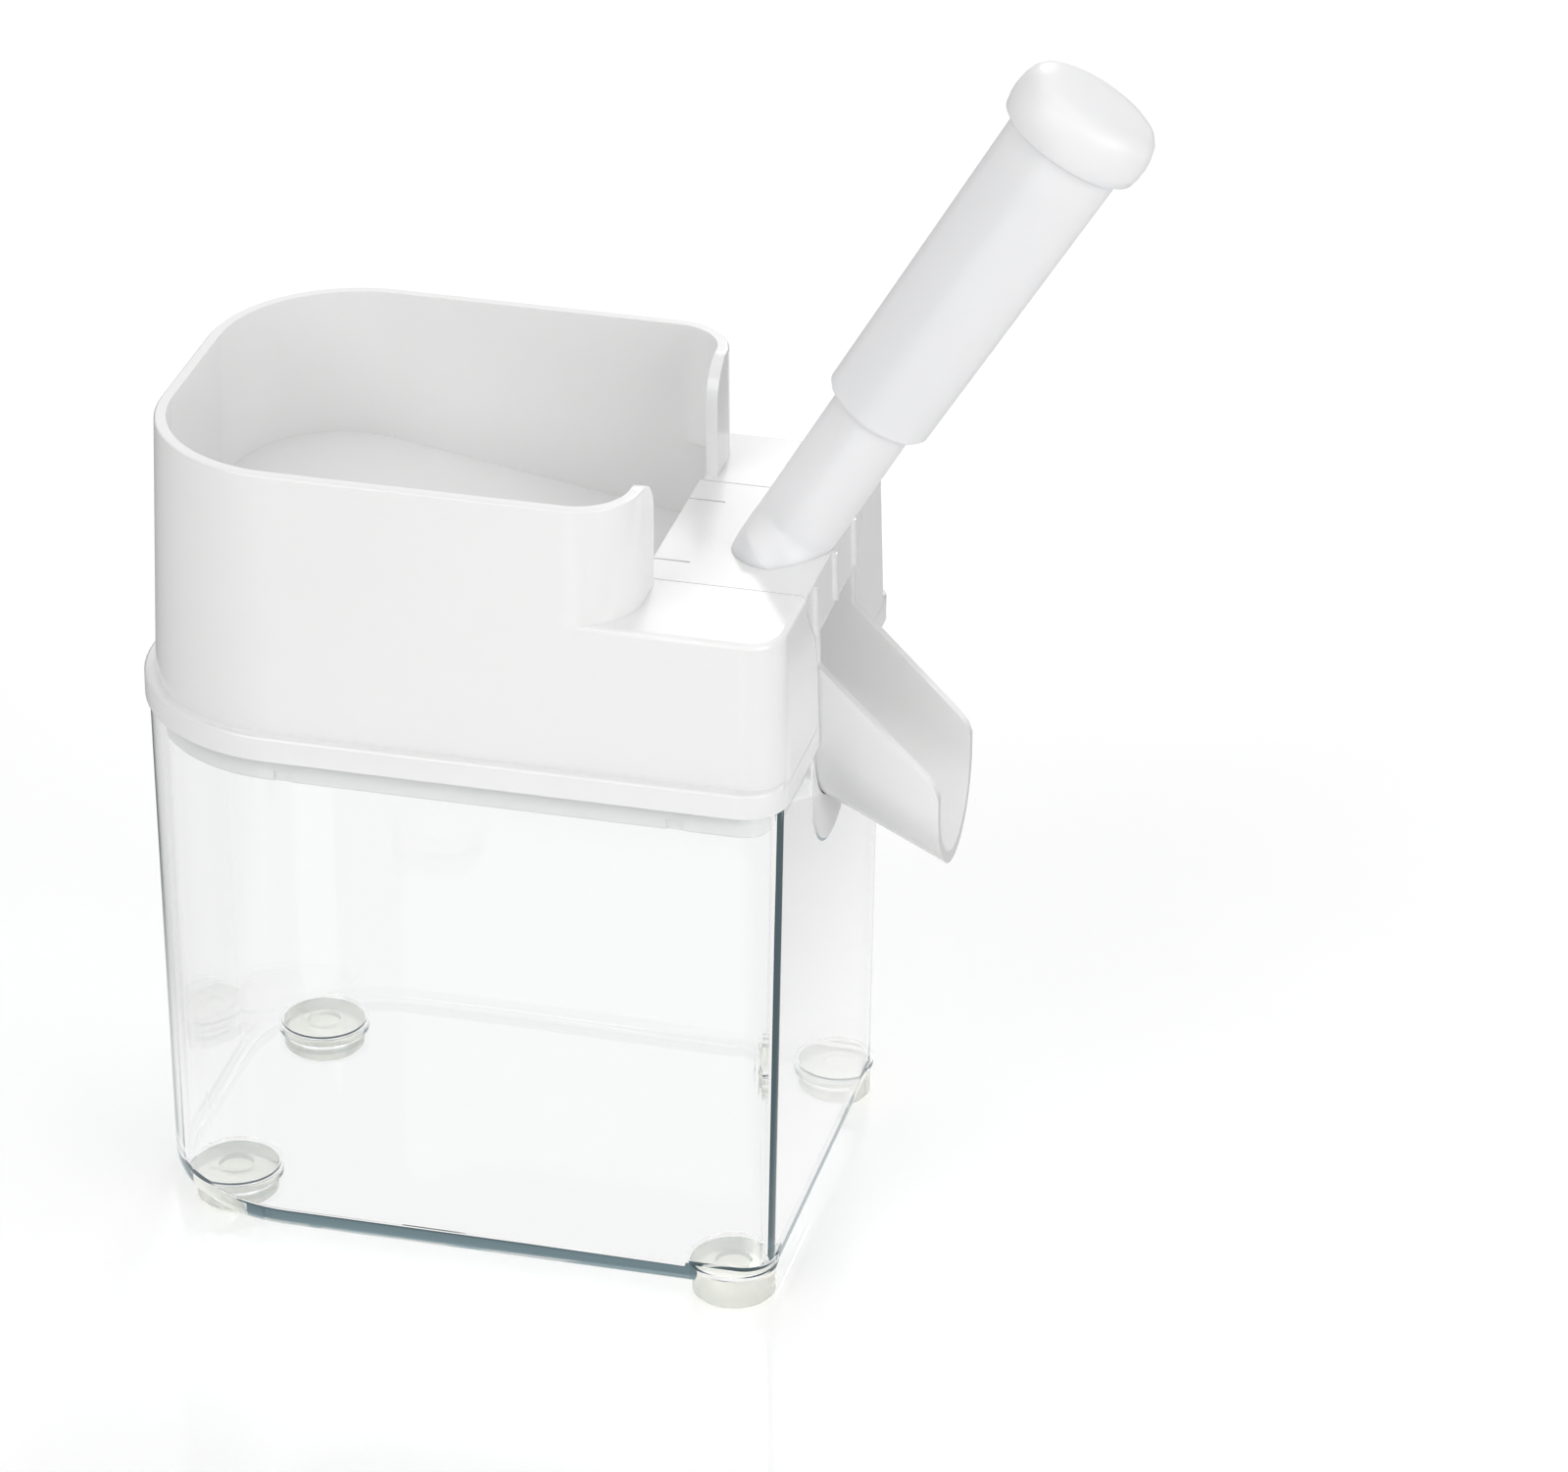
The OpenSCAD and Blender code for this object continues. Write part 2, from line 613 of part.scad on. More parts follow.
module pitting_head() {
    tongue = 14;                               // half width of the latch tongue
    slit = 0.6;
    rib = 1;                                   // width of the ribs on the end wall
    color(white) difference() {
        union() {
            // deck strip
            translate([insert_left, -insert_half, deck_z - shell_wall])
                cube([half_l - shell_draft * deck_h - 0.4 - insert_left, 2 * insert_half, shell_wall]);
            intersection() {
                neck_block(chute_half - 0.5);
                translate([insert_left, -half_w, base_z]) cube([half_l - 3 - insert_left, body_w, deck_h - 0.5]);
            }
            // cheeks and chute
            intersection() {
                union() {
                    across(-half_w, half_w) chute_side();
                    across(-half_w, half_w) cheek_side();
                }
                chute_channel(chute_half);
            }
            head_end();
            // ribs on the end wall under the neck's overhang
            for (y = [-16, 0, 16])
                translate([half_l, 0, base_z]) rotate([0, -draft_angle, 0])
                    translate([-cut, y - rib / 2, lintel_h + 0.6]) cube([cut + 0.5, rib, deck_h - lintel_h - 2]);
        }
        head_room();
        // bore for the bush and room for the crown at rest
        on_axis(-boss_drop - cut) cylinder(r = crown_r + 0.9, h = boss_drop + cut - bush_low + 0.02);
        on_axis(-bush_low) cylinder(r = bush_r + 0.05, h = bush_low + 12);
        on_axis(bush_top - bush_collar - 0.05) cylinder(r = spring_r + 0.5, h = 12);
        for (s = [-1, 1]) on_axis() translate([0, s * screw_y, 0]) {
            translate([0, 0, -boss_drop - cut]) cylinder(r = screw_r + 0.2, h = boss_drop + 2 * cut);
            translate([0, 0, -stub_l - 0.05]) cylinder(r = stub_r + 0.05, h = stub_l + 4);
        }
        // slits of the latch tongue
        for (s = [-1, 1]) translate([insert_left - cut, s * tongue - slit / 2, deck_z - shell_wall - cut])
            cube([7.5 + cut, slit, shell_wall + 2 * cut]);
    }
}

screw_y = 8.7;                                 // places of the neck screws to either side of the axis
stub_r = 2.8;                                  // stubs of the neck that stand in the deck insert
stub_l = 4;
screw_r = 1.1;
bush_low = 5;                                  // drop of the guide bush's lower end
bush_r = 4.2;
bush_top = 4.5;                                // height of the guide bush's collar above the deck

// Oval section across the axis at height t. A share flat of each side's left part is a plain slope
// up to a soft ridge, and a share box squares the section's corners.
ridge_at = -0.2;
slope_end = -0.92;
function rise(c) = sqrt(1 - min(1, c * c));
function slope(c) = rise(slope_end) + (c - slope_end) / (ridge_at - slope_end) * (rise(ridge_at) - rise(slope_end));
function oval(a0, a1, b, t, flat = 0, box = 0) =
    [for (i = [0 : 47]) let (c = cos(360 / 48 * i), s = sin(360 / 48 * i),
            fall = c > slope_end && c < ridge_at ? flat * (rise(c) - slope(c)) : 0,
            fill = 1 + box * pow(2 * c * s, 2))
        [(c < 0 ? a0 : a1) * c * fill, b * fill * (s - sign(s) * fall), t]];

module guide_neck() {
    h = neck_foot_h;
    flat = 0.5;
    // section at a share u of the foot's height: a hollow fillet from the deck up to the plain neck
    function foot_ring(u) = let (spread = pow(1 - u, 1.6))
        oval(neck_a, neck_a, neck_b + (neck_foot_b - neck_b) * spread, h * u, flat, 0.12 * spread);
    color(satin) difference() {
        union() {
            intersection() {
                on_axis() loft([oval(neck_a, neck_a, neck_foot_b, -10, flat, 0.12),
                    for (u = [0, 0.15, 0.3, 0.45, 0.6, 0.8, 1]) foot_ring(u),
                    oval(neck_a, neck_a, neck_b, neck_l - 0.6, flat),
                    oval(neck_a - 0.6, neck_a - 0.6, neck_b - 0.6, neck_l, flat)]);
                translate([0, -half_w, deck_z + 0.02]) cube([body_l, body_w, neck_l * 2]);
            }
            for (s = [-1, 1]) on_axis(-stub_l) translate([0, s * screw_y, 0]) cylinder(r = stub_r, h = stub_l + 1.2);
        }
        on_axis(bush_top - bush_collar - 0.05) cylinder(r = spring_r + 0.5, h = neck_l);
        on_axis(-15) cylinder(r = bush_r + 0.05, h = 30);
        for (s = [-1, 1]) on_axis(-15) translate([0, s * screw_y, 0])
            cylinder(r = screw_r + 0.02, h = 15 + screw_top + 0.3);
    }
}

bush_collar = 1.4;

module guide_bush() {
    color(satin) on_axis(-bush_low) difference() {
        union() {
            cylinder(r = bush_r, h = bush_low + bush_top);
            translate([0, 0, bush_low + bush_top - bush_collar]) cylinder(r = spring_r + 0.4, h = bush_collar);
        }
        translate([0, 0, -cut]) cylinder(r = rod_r + rod_play, h = bush_low + bush_top + 2 * cut);
    }
}

// Plate that holds the cherry back when the crown is drawn up through it.
module stripper_plate() {
    color(steel) on_axis(-stripper_drop) difference() {
        intersection() {
            translate([-neck_a, -chute_half + chute_wall + 0.1, 0])
                cube([2 * neck_a, 2 * (chute_half - chute_wall - 0.1), stripper_t - 0.02]);
            cylinder(r = stripper_end_r, h = stripper_t - 0.02);
        }
        translate([0, 0, -cut]) cylinder(r = crown_r + 0.5, h = stripper_t + 2 * cut);
        for (s = [-1, 1]) translate([0, s * screw_y, -cut]) cylinder(r = screw_r + 0.2, h = stripper_t + 2 * cut);
    }
}

stripper_end_r = 14.5;                         // radius of the plate's rounded ends
screw_top = 1.9;                               // reach of the neck screws above the deck

module neck_screws() {
    head_r = 2.4;
    head_h = 1.6;
    color(steel) for (s = [-1, 1]) on_axis(-stripper_drop - head_h - 0.02) translate([0, s * screw_y, 0])
        difference() {
            union() {
                cylinder(r = head_r, h = head_h);
                cylinder(r = screw_r, h = head_h + stripper_drop + screw_top);
            }
            for (a = [0, 90]) rotate([0, 0, a]) translate([-1.5, -0.3, -cut]) cube([3, 0.6, cut + 0.8]);
        }
}

// ---- plunger --------------------------------------------------------------------------------

cavity_top = neck_l + stroke + 1;              // upper end of the room for the neck inside the grip
grip_top = cavity_top + grip_web;              // upper end of the grip, under the cap

module grip_sleeve() {
    flat = 0.5;
    a1 = grip_a + grip_flare;
    inner_a = neck_a + grip_play;
    inner_b = neck_b + grip_play;
    color(satin) difference() {
        on_axis() loft([oval(grip_a - 0.7, grip_a - 0.7, grip_b - 0.5, grip_low, flat),
            oval(grip_a, grip_a, grip_b, grip_low + 0.9, flat),
            oval(grip_a, a1, grip_b + 0.4, grip_top, flat)]);
        on_axis() loft([oval(inner_a, inner_a, inner_b, grip_low - cut, flat),
            oval(inner_a, inner_a, inner_b, cavity_top, flat)]);
        on_axis(grip_low) cylinder(r = rod_r + 0.02, h = grip_top - grip_low + cut);
        on_axis(grip_top - screw_room) cylinder(r = 4.6, h = screw_room + cut);
    }
}

screw_room = 3.6;                              // depth of the recess for the cap screw

module palm_cap() {
    mid = grip_flare * 0.45;                   // the cap follows the grip's flare
    function cap_ring(a, b, t) = [for (p = oval(a, a, b, t)) [p[0] + mid, p[1], p[2]]];
    t0 = grip_top + 0.05;
    color(satin) on_axis() loft([
        cap_ring(cap_a - 1.2, cap_b - 1.2, t0), cap_ring(cap_a - 0.5, cap_b - 0.6, t0 + 0.5),
        cap_ring(cap_a - 0.1, cap_b - 0.1, t0 + 2.5), cap_ring(cap_a, cap_b, t0 + 4.5),
        cap_ring(cap_a - 0.3, cap_b - 0.3, t0 + 7), cap_ring(cap_a - 0.9, cap_b - 1, t0 + 9),
        cap_ring(cap_a - 1.9, cap_b - 2.1, t0 + 10.4), cap_ring(cap_a - 3.6, cap_b - 3.9, t0 + 11.4),
        cap_ring(cap_a - 6.5, cap_b - 6.6, t0 + cap_h - 0.5), cap_ring(cap_a - 10.5, cap_b - 9.4, t0 + cap_h - 0.1),
        cap_ring(1, 0.8, t0 + cap_h)]);
}

rod_low = crown_low - 2.4;                     // drop of the rod's lower end
rod_top = grip_top - screw_room;

module plunger_rod() {
    color(steel) on_axis(-rod_low) difference() {
        cylinder(r = rod_r, h = rod_low + rod_top);
        translate([0, 0, rod_low + rod_top - 7.8]) cylinder(r = 1.25, h = 8.8);
    }
}

// Fluted crown on the rod's lower end; its upper face stops the plunger against the guide bush.
module pitting_crown() {
    flutes = 4;
    flute_r = 1.5;
    crown_h = crown_low - bush_low - 0.3;
    color(steel) on_axis(-crown_low) difference() {
        cylinder(r = crown_r, h = crown_h);
        translate([0, 0, crown_low - rod_low - 0.02]) cylinder(r = rod_r + 0.01, h = crown_h);
        translate([0, 0, -0.01]) cylinder(r1 = 2.2, r2 = 0.4, h = 1.6);
        for (i = [0 : flutes - 1]) rotate([0, 0, 45 + 360 / flutes * i])
            translate([crown_r + 0.5, 0, -cut]) cylinder(r = flute_r, h = cut + crown_h - 3);
    }
}

module cap_screw() {
    color(steel) on_axis(rod_top + 0.02) difference() {
        union() {
            cylinder(r = 4.2, h = 1);
            cylinder(r = 3, h = 2.9);
            translate([0, 0, -7]) cylinder(r = 1.23, h = 8);
        }
        for (a = [0, 90]) rotate([0, 0, a]) translate([-1.8, -0.4, 1.7]) cube([3.6, 0.8, 2]);
    }
}

// ---- spring ---------------------------------------------------------------------------------

washer_t = 0.8;

module spring_washer() {
    color(steel) on_axis(cavity_top - washer_t - 0.05) difference() {
        cylinder(r = spring_r + 0.3, h = washer_t);
        translate([0, 0, -cut]) cylinder(r = rod_r + 0.1, h = washer_t + 2 * cut);
    }
}

spring_low = bush_top + 0.1;
spring_high = cavity_top - washer_t - 0.15;
coil_r = spring_r - wire_d / 2;
wire_steps = 14;                               // rings of the wire in one turn
wire_sides = 6;

// Height of the wire's centre after a share u of the spring, with closed ends.
end_turns = 1;
lead_in = end_turns * wire_d * 1.45;           // rise of a closed end turn
function coil_height(turn) =
    let (low = spring_low + wire_d / 2, high = spring_high - wire_d / 2,
        free = spring_turns - 2 * end_turns)
    turn < end_turns ? low + turn * lead_in
    : turn > spring_turns - end_turns ? high - (spring_turns - turn) * lead_in
    : low + lead_in + (turn - end_turns) / free * (high - low - 2 * lead_in);
function coil_point(turn) = [coil_r * cos(360 * turn), coil_r * sin(360 * turn), coil_height(turn)];
coil = [for (i = [0 : spring_turns * wire_steps]) coil_point(i / wire_steps)];

function unit(v) = v / norm(v);
// Ring of the wire at point i, square to the run of the coil there.
function wire_ring(i) =
    let (a = coil[max(i - 1, 0)], b = coil[min(i + 1, len(coil) - 1)], run = unit(b - a),
        out = unit([coil[i][0], coil[i][1], 0]), up = cross(run, out))
    [for (j = [0 : wire_sides - 1]) coil[i] + wire_d / 2 * (cos(360 / wire_sides * j) * out
        + sin(360 / wire_sides * j) * up)];

// Least gap between neighbouring turns of the wire, measured on the points.
coil_gap = min([for (i = [0 : len(coil) - 1 - wire_steps]) norm(coil[i + wire_steps] - coil[i])]) - wire_d;
echo(least_gap_between_turns = coil_gap);

module return_spring() {
    n = wire_sides;
    m = len(coil);
    rings = [for (i = [0 : m - 1]) each wire_ring(i)];
    side = [for (i = [0 : m - 2]) for (j = [0 : n - 1])
        let (a = i * n + j, b = i * n + (j + 1) % n, c = a + n, d = b + n) each [[a, b, d], [a, d, c]]];
    color(steel) on_axis() polyhedron(points = rings,
        faces = concat([[for (j = [n - 1 : -1 : 0]) j]], [[for (j = [0 : n - 1]) (m - 1) * n + j]], side));
}

// ---- the pieces -----------------------------------------------------------------------------

// Far end of the palm cap, the object's end on the chute's side; the origin lies midway to the other end.
cap_reach = axis_point(cap_a - 0.9 + grip_flare * 0.45, grip_top + 9)[0];

module placed() {
    translate([(half_l - cap_reach) / 2, 0, 0]) children();
}

placed() container();
placed() foot_front_left();
placed() foot_front_right();
placed() foot_rear_left();
placed() foot_rear_right();
placed() housing();
placed() inner_frame();
placed() cherry_cup();
placed() cup_gasket();
placed() gasket_ring();
placed() pitting_head();
placed() guide_neck();
placed() guide_bush();
placed() stripper_plate();
placed() neck_screws();
placed() grip_sleeve();
placed() palm_cap();
placed() plunger_rod();
placed() pitting_crown();
placed() cap_screw();
placed() spring_washer();
placed() return_spring();
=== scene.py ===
"""Finishes, small rounded edges, stage and camera for a free-standing cherry pitter."""

import math

import bmesh
import bpy
from mathutils import Matrix, Vector


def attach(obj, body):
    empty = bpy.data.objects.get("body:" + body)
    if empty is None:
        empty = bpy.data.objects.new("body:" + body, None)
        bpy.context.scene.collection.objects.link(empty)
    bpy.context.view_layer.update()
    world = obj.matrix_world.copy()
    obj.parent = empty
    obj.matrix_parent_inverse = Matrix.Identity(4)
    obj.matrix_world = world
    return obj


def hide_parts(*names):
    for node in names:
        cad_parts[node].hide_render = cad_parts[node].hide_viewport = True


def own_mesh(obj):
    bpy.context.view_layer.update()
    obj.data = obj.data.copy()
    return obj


bl_info = {
    "name": "Cherry Pitter",
    "version": (1, 0, 0),
    "blender": (4, 5, 0),
    "location": "3D Viewport > Sidebar > Pitter",
    "description": "Dresses the cherry pitter's pieces and sets its stage",
    "category": "Object",
}

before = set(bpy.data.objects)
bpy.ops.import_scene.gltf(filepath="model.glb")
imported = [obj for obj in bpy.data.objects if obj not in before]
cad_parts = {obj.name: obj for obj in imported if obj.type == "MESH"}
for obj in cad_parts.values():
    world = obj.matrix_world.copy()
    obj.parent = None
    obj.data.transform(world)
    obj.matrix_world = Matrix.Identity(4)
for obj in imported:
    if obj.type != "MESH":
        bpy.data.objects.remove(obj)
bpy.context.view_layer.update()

MM = 0.001
WELD = 0.002 * MM               # points closer than this are one point
FLAT_ANGLE = math.radians(0.4)  # faces that differ by less are one flat face
FLOOR_GAP = 0.2 * MM            # the sheet lies this far under the feet

# The camera, found from the object's own edges: millimetres and degrees in the object's frame.
VIEW_TARGET = Vector((28.147, 0.0, 106.617)) * MM
VIEW_DISTANCE = 1448.986 * MM
VIEW_YAW = math.radians(13.962)
VIEW_ELEVATION = math.radians(27.878)
VIEW_ROLL = math.radians(0.250)
FOCAL_PX = 7306.054
PHOTO_WIDTH_PX = 1600
SENSOR_MM = 36.0


def linear(hex_text):
    """sRGB hex text to the linear colour that shaders take."""
    channels = [int(hex_text[i:i + 2], 16) / 255 for i in (0, 2, 4)]
    return tuple(c / 12.92 if c <= 0.04045 else ((c + 0.055) / 1.055) ** 2.4 for c in channels)


def colour_setting(name, description, hex_text):
    """A colour that the user picks, with its default as sRGB hex."""
    return bpy.props.FloatVectorProperty(name=name, description=description, subtype="COLOR", size=3,
                                         min=0.0, max=1.0, default=linear(hex_text))


class PitterSettings(bpy.types.PropertyGroup):
    """Sizes and colours that a user would change"""

    edge_round: bpy.props.FloatProperty(
        name="Edge rounding",
        description="Radius on the moulded edges of the housing and the pitting head",
        default=0.45 * MM, min=0.0, max=1.2 * MM, unit="LENGTH", precision=5)
    grain: bpy.props.FloatProperty(
        name="Moulding grain",
        description="Size of the fine grain on satin mouldings",
        default=0.35 * MM, min=0.1 * MM, max=2.0 * MM, unit="LENGTH", precision=5)
    gloss_white: colour_setting("Housing white", "Colour of the glossy mouldings", "EBEBEB")
    satin_white: colour_setting("Grip white", "Colour of the satin mouldings", "EAEAEB")
    # colour of the painted glow inside the clear walls; with their absorption it gives the colour seen along
    # a wall
    clear_glow_tint: colour_setting("Container edge colour",
                               "Colour seen where the eye looks along a clear wall", "82A2AD")
    soft_tint: colour_setting("Feet tint", "Colour of the soft feet", "FAF8F0")
    steel_tint: colour_setting("Steel tint", "Colour of the steel pieces", "C9CBCE")


# ---- small helpers --------------------------------------------------------------------------

def add(tree, kind, settings=None, links=None):
    """Adds a node; settings go to its attributes or sockets, links name the sockets that feed it."""
    node = tree.nodes.new(kind)
    for key, value in (settings or {}).items():
        if isinstance(key, str) and hasattr(node, key):
            setattr(node, key, value)
        else:
            node.inputs[key].default_value = value
    for key, source in (links or {}).items():
        tree.links.new(source, node.inputs[key])
    return node


def new_material(name):
    material = bpy.data.materials.new(name)
    material.use_nodes = True
    material.node_tree.nodes.clear()
    return material, material.node_tree


def dress(node_name, material):
    """Gives a CAD node's own object the material."""
    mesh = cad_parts[node_name].data
    mesh.materials.clear()
    mesh.materials.append(material)


def refined(node_name, material, body, edge_round, sharp_angle=50.0):
    """A merged copy of a CAD node with rounded edges and smooth curves, standing for the node."""
    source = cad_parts[node_name].data
    mesh = bpy.data.meshes.new(node_name + "_finished")
    shape = bmesh.new()
    shape.from_mesh(source)
    bmesh.ops.remove_doubles(shape, verts=shape.verts, dist=WELD)
    bmesh.ops.dissolve_degenerate(shape, edges=shape.edges, dist=WELD)
    bmesh.ops.dissolve_limit(shape, verts=shape.verts, edges=shape.edges, angle_limit=FLAT_ANGLE)
    for face in shape.faces:
        face.smooth = True
    for edge in shape.edges:
        edge.smooth = len(edge.link_faces) == 2 and edge.calc_face_angle(0.0) < math.radians(sharp_angle)
    shape.to_mesh(mesh)
    shape.free()
    piece = bpy.data.objects.new(node_name + "_finished", mesh)
    bpy.context.scene.collection.objects.link(piece)
    mesh.materials.append(material)
    if edge_round > 0:
        bevel = piece.modifiers.new("Rounded edges", "BEVEL")
        bevel.width = edge_round
        bevel.segments = 3
        bevel.limit_method = "ANGLE"
        bevel.angle_limit = math.radians(sharp_angle)
        bevel.use_clamp_overlap = True
        bevel.harden_normals = False
        bevel.miter_outer = "MITER_ARC"
    weighted = piece.modifiers.new("Flat faces stay flat", "WEIGHTED_NORMAL")
    weighted.keep_sharp = edge_round <= 0
    weighted.weight = 50
    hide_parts(node_name)
    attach(piece, body)


def sprung(node_name, material, body):
    """A copy of a coil spring that stands on body."""
    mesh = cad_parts[node_name].data.copy()
    mesh.materials.clear()
    mesh.materials.append(material)
    piece = bpy.data.objects.new(node_name + "_coil", mesh)
    bpy.context.scene.collection.objects.link(piece)
    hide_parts(node_name)
    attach(piece, body)
    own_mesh(piece)


# ---- materials ------------------------------------------------------------------------------

def glossy_abs(colour, grain):
    """ABS moulded in a polished tool: near-white, bright reflections, faint flow unevenness."""
    material, tree = new_material("Polished moulded ABS")
    place = add(tree, "ShaderNodeTexCoord").outputs["Object"]
    # slow waviness of a moulded wall, about 18 mm long, only just seen in reflections
    wave = add(tree, "ShaderNodeTexNoise", {"Scale": 1 / (18 * MM), "Detail": 1.0, "Roughness": 0.4},
               {"Vector": place})
    fine = add(tree, "ShaderNodeTexNoise", {"Scale": 1 / (grain * 2), "Detail": 2.0}, {"Vector": place})
    tone = add(tree, "ShaderNodeMapRange", {"To Min": 0.985, "To Max": 1.0}, {"Value": wave.outputs["Fac"]})
    shade = add(tree, "ShaderNodeVectorMath", {"operation": "SCALE", 0: tuple(colour)},
                {"Scale": tone.outputs["Result"]})
    rough = add(tree, "ShaderNodeMapRange", {"To Min": 0.20, "To Max": 0.27}, {"Value": fine.outputs["Fac"]})
    bump = add(tree, "ShaderNodeBump", {"Strength": 0.05, "Distance": 0.05 * MM},
               {"Height": wave.outputs["Fac"]})
    surface = add(tree, "ShaderNodeBsdfPrincipled",
                  {"IOR": 1.53, "Subsurface Weight": 0.15, "Subsurface Scale": 2.0 * MM,
                   "Subsurface Radius": (1.0, 0.9, 0.8), "Coat Weight": 0.25, "Coat Roughness": 0.06},
                  {"Base Color": shade.outputs["Vector"], "Roughness": rough.outputs["Result"],
                   "Normal": bump.outputs["Normal"]})
    add(tree, "ShaderNodeOutputMaterial", {}, {"Surface": surface.outputs["BSDF"]})
    return material


def satin_polymer(colour, grain):
    """Polypropylene moulded in a finely blasted tool: soft sheen, light passes a little way in."""
    material, tree = new_material("Satin moulded polypropylene")
    place = add(tree, "ShaderNodeTexCoord").outputs["Object"]
    blast = add(tree, "ShaderNodeTexNoise", {"Scale": 1 / grain, "Detail": 3.0, "Roughness": 0.6},
                {"Vector": place})
    drift = add(tree, "ShaderNodeTexNoise", {"Scale": 1 / (25 * MM), "Detail": 1.0}, {"Vector": place})
    tone = add(tree, "ShaderNodeMapRange", {"To Min": 0.98, "To Max": 1.0}, {"Value": drift.outputs["Fac"]})
    shade = add(tree, "ShaderNodeVectorMath", {"operation": "SCALE", 0: tuple(colour)},
                {"Scale": tone.outputs["Result"]})
    rough = add(tree, "ShaderNodeMapRange", {"To Min": 0.32, "To Max": 0.42},
                {"Value": blast.outputs["Fac"]})
    bump = add(tree, "ShaderNodeBump", {"Strength": 0.12, "Distance": 0.02 * MM},
               {"Height": blast.outputs["Fac"]})
    surface = add(tree, "ShaderNodeBsdfPrincipled",
                  {"IOR": 1.49, "Subsurface Weight": 0.3, "Subsurface Scale": 4.0 * MM,
                   "Subsurface Radius": (1.0, 0.95, 0.85)},
                  {"Base Color": shade.outputs["Vector"], "Roughness": rough.outputs["Result"],
                   "Normal": bump.outputs["Normal"]})
    add(tree, "ShaderNodeOutputMaterial", {}, {"Surface": surface.outputs["BSDF"]})
    return material


def lets_light_by(tree, surface, shade):
    """The surface, with lamps shining through it instead of being stopped by it."""
    path = add(tree, "ShaderNodeLightPath")
    open_way = add(tree, "ShaderNodeBsdfTransparent", {"Color": shade})
    mixed = add(tree, "ShaderNodeMixShader", {},
                {"Fac": path.outputs["Is Shadow Ray"], 1: surface.outputs["BSDF"],
                 2: open_way.outputs["BSDF"]})
    return mixed.outputs["Shader"]


def clear_san(tint):
    """SAN, a clear glossy plastic: water-clear face on, blue grey where the eye looks along the wall, from
    its absorption and from a painted glow that stands in for light running along the wall.
    """
    material, tree = new_material("Clear moulded SAN")
    place = add(tree, "ShaderNodeTexCoord").outputs["Object"]
    flow = add(tree, "ShaderNodeTexNoise", {"Scale": 1 / (40 * MM), "Detail": 1.0}, {"Vector": place})
    bump = add(tree, "ShaderNodeBump", {"Strength": 0.04, "Distance": 0.1 * MM},
               {"Height": flow.outputs["Fac"]})
    rough = add(tree, "ShaderNodeMapRange", {"To Min": 0.0, "To Max": 0.02}, {"Value": flow.outputs["Fac"]})
    surface = add(tree, "ShaderNodeBsdfPrincipled",
                  {"IOR": 1.45, "Transmission Weight": 1.0, "Base Color": (0.985, 0.99, 0.99, 1.0)},
                  {"Roughness": rough.outputs["Result"], "Normal": bump.outputs["Normal"]})
    # what the wall takes out, and a painted glow in its place, emission standing in for the light running
    # along the wall:
    # face on the two leave white as white, along a wall only the tint is left
    depth = add(tree, "ShaderNodeVolumeAbsorption", {"Color": (0.45, 0.33, 0.27, 1.0), "Density": 22.0})
    # painted glow: the wall's volume gives off light in the tint, though it is no lamp
    painted_glow = add(tree, "ShaderNodeEmission", {"Color": (*tint, 1.0), "Strength": 15.5})
    inside = add(tree, "ShaderNodeAddShader", {}, {0: depth.outputs["Volume"], 1: painted_glow.outputs["Emission"]})
    add(tree, "ShaderNodeOutputMaterial", {},
        {"Surface": lets_light_by(tree, surface, (0.93, 0.95, 0.95, 1.0)),
         "Volume": inside.outputs["Shader"]})
    return material


def milky_silicone(tint):
    """Silicone rubber, lightly milky: light comes through it, soft edges, low shine."""
    material, tree = new_material("Milky silicone rubber")
    place = add(tree, "ShaderNodeTexCoord").outputs["Object"]
    cloud = add(tree, "ShaderNodeTexNoise", {"Scale": 1 / (3 * MM), "Detail": 2.0}, {"Vector": place})
    rough = add(tree, "ShaderNodeMapRange", {"To Min": 0.1, "To Max": 0.18}, {"Value": cloud.outputs["Fac"]})
    bump = add(tree, "ShaderNodeBump", {"Strength": 0.1, "Distance": 0.02 * MM},
               {"Height": cloud.outputs["Fac"]})
    surface = add(tree, "ShaderNodeBsdfPrincipled",
                  {"Base Color": (*tint, 1.0), "IOR": 1.33, "Subsurface Weight": 1.0,
                   "Subsurface Scale": 8.0 * MM, "Subsurface Radius": (1.0, 0.97, 0.9),
                   "Transmission Weight": 0.6},
                  {"Roughness": rough.outputs["Result"], "Normal": bump.outputs["Normal"]})
    add(tree, "ShaderNodeOutputMaterial", {},
        {"Surface": lets_light_by(tree, surface, (0.8, 0.8, 0.78, 1.0))})
    return material


def brushed_stainless(tint):
    """Stainless steel, drawn and lightly brushed: soft streaks along the plunger's axis."""
    material, tree = new_material("Brushed stainless steel")
    place = add(tree, "ShaderNodeTexCoord").outputs["Object"]
    turned = add(tree, "ShaderNodeMapping", {"Rotation": (0.0, math.radians(-30.8), 0.0),
                                             "Scale": (1.0, 1.0, 0.04)}, {"Vector": place})
    streak = add(tree, "ShaderNodeTexNoise", {"Scale": 1 / (0.4 * MM), "Detail": 2.0},
                 {"Vector": turned.outputs["Vector"]})
    rough = add(tree, "ShaderNodeMapRange", {"To Min": 0.22, "To Max": 0.38},
                {"Value": streak.outputs["Fac"]})
    surface = add(tree, "ShaderNodeBsdfPrincipled", {"Base Color": (*tint, 1.0), "Metallic": 1.0},
                  {"Roughness": rough.outputs["Result"]})
    add(tree, "ShaderNodeOutputMaterial", {}, {"Surface": surface.outputs["BSDF"]})
    return material


